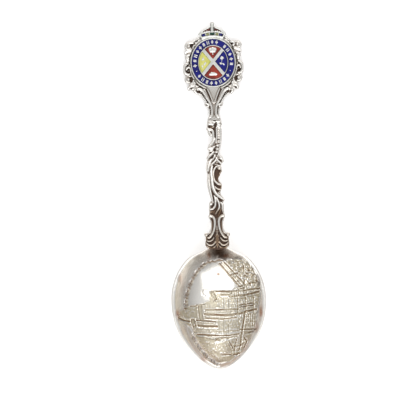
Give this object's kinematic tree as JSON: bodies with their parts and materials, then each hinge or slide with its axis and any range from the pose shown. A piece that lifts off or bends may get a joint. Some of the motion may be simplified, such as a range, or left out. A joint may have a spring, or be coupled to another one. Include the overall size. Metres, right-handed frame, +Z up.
{
  "type": "souvenir spoon",
  "caption": "Small silver souvenir teaspoon: egg-shaped embossed bowl, rococo scroll stem, cartouche finial with an oval enamelled badge and crown.",
  "frame": {"origin": "centre of the spoon's footprint on the surface it lies on", "axes": "+Y along the spoon's length towards the crown, +Z up out of the open bowl, +X to the right seen from above"},
  "size_m": [0.0344, 0.127, 0.0119],
  "materials": {
    "silver_bowl": "polished sterling silver with a matte ground inside the embossed picture and brown tarnish in the hollows",
    "silver_cast": "cast sterling silver, bright on the ridges and oxidised dark brown in the recesses",
    "silver_badge": "bright sterling silver cell walls with fine scratches",
    "enamel_blue": "opaque royal blue fired enamel, glossy",
    "enamel_red": "translucent brick red fired enamel, glossy",
    "enamel_dark_red": "dark brownish red fired enamel, glossy",
    "enamel_yellow": "pale lemon yellow fired enamel, glossy",
    "enamel_green": "deep green fired enamel, glossy",
    "enamel_pale_yellow": "yellow-green fired enamel, glossy"
  },
  "bodies": {
    "root": {"bowl": "silver_bowl", "stem": "silver_cast", "finial_frame": "silver_cast", "badge_plate": "silver_badge", "enamel_ring_blue": "enamel_blue", "enamel_field_top_red": "enamel_red", "enamel_field_right_blue": "enamel_blue", "enamel_field_bottom_red": "enamel_red", "enamel_field_left_yellow": "enamel_yellow", "enamel_crown_left_red": "enamel_dark_red", "enamel_crown_right_red": "enamel_dark_red", "enamel_jewel_left_blue": "enamel_blue", "enamel_jewel_left_yellow": "enamel_pale_yellow", "enamel_jewel_centre_green": "enamel_green", "enamel_jewel_right_yellow": "enamel_pale_yellow", "enamel_jewel_right_blue": "enamel_blue"}
  },
  "joints": []
}
